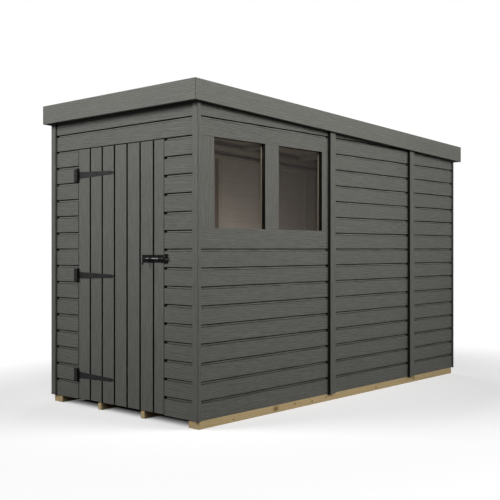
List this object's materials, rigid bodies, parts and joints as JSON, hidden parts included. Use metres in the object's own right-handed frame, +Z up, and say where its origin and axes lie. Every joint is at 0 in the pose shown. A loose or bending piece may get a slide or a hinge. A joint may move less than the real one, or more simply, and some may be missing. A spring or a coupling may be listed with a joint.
{
  "type": "composite pent shed",
  "caption": "Long narrow garden shed in dark grey grooved boards with a shallow single-slope roof, a boarded door with strap hinges and a bolt, and fixed panes on one side.",
  "frame": {"origin": "centre of the bounding box's base, on the ground under the bearers", "axes": "+X across the door end, towards the side with the panes; +Y along the length, away from the door; +Z up"},
  "size_m": [1.54, 3.247, 2.089],
  "materials": {
    "wall_boards": "mid grey, fine pressed wood grain, matt",
    "trim_boards": "mid grey, fine pressed wood grain, matt",
    "fascia_boards": "mid grey, fine pressed wood grain, matt",
    "treated_timber": "pale treated softwood with knots",
    "framing_timber": "planed softwood",
    "felt": "dark mineral roofing felt",
    "glass": "clear",
    "black_metal": "satin black"
  },
  "bodies": {
    "shed": {"bearers": "treated_timber", "floor_deck": "framing_timber", "front_boards_left": "wall_boards", "front_boards_right": "wall_boards", "front_boards_top": "wall_boards", "right_boards_below_window": "wall_boards", "window_sill_board": "wall_boards", "window_stiles": "wall_boards", "window_header_board": "wall_boards", "right_boards_above_window": "wall_boards", "window_frames": "framing_timber", "window_glass": "glass", "right_middle_boards": "wall_boards", "right_rear_boards": "wall_boards", "left_front_boards": "wall_boards", "left_middle_boards": "wall_boards", "left_rear_boards": "wall_boards", "back_boards": "wall_boards", "corner_trims": "trim_boards", "joint_trims": "trim_boards", "right_wall_plates": "framing_timber", "right_wall_studs": "framing_timber", "left_wall_plates": "framing_timber", "left_wall_studs": "framing_timber", "front_wall_plates": "framing_timber", "front_wall_studs": "framing_timber", "back_wall_plates": "framing_timber", "back_wall_studs": "framing_timber", "wall_rails": "framing_timber", "roof_joists": "framing_timber", "roof_deck": "framing_timber", "roof_felt": "felt", "front_fascia": "fascia_boards", "back_fascia": "fascia_boards", "right_fascia": "fascia_boards", "left_fascia": "fascia_boards", "door_stops": "framing_timber", "hinge_plates": "black_metal", "bolt_keeper": "black_metal"},
    "door": {"door_boards": "wall_boards", "door_ledges": "framing_timber", "door_braces": "framing_timber", "hinge_straps": "black_metal", "bolt_plate": "black_metal"},
    "bolt": {"bolt_rod": "black_metal"}
  },
  "joints": [
    {"name": "door_hinge", "type": "hinge", "parent": "shed", "child": "door", "pos_m": [-0.438, -1.57, 0.9], "axis": [0, 0, -1], "range_deg": [0, 120]},
    {"name": "bolt_slide", "type": "slide", "parent": "door", "child": "bolt", "axis": [-1, 0, 0], "range_m": [-0.02, 0.02]}
  ]
}
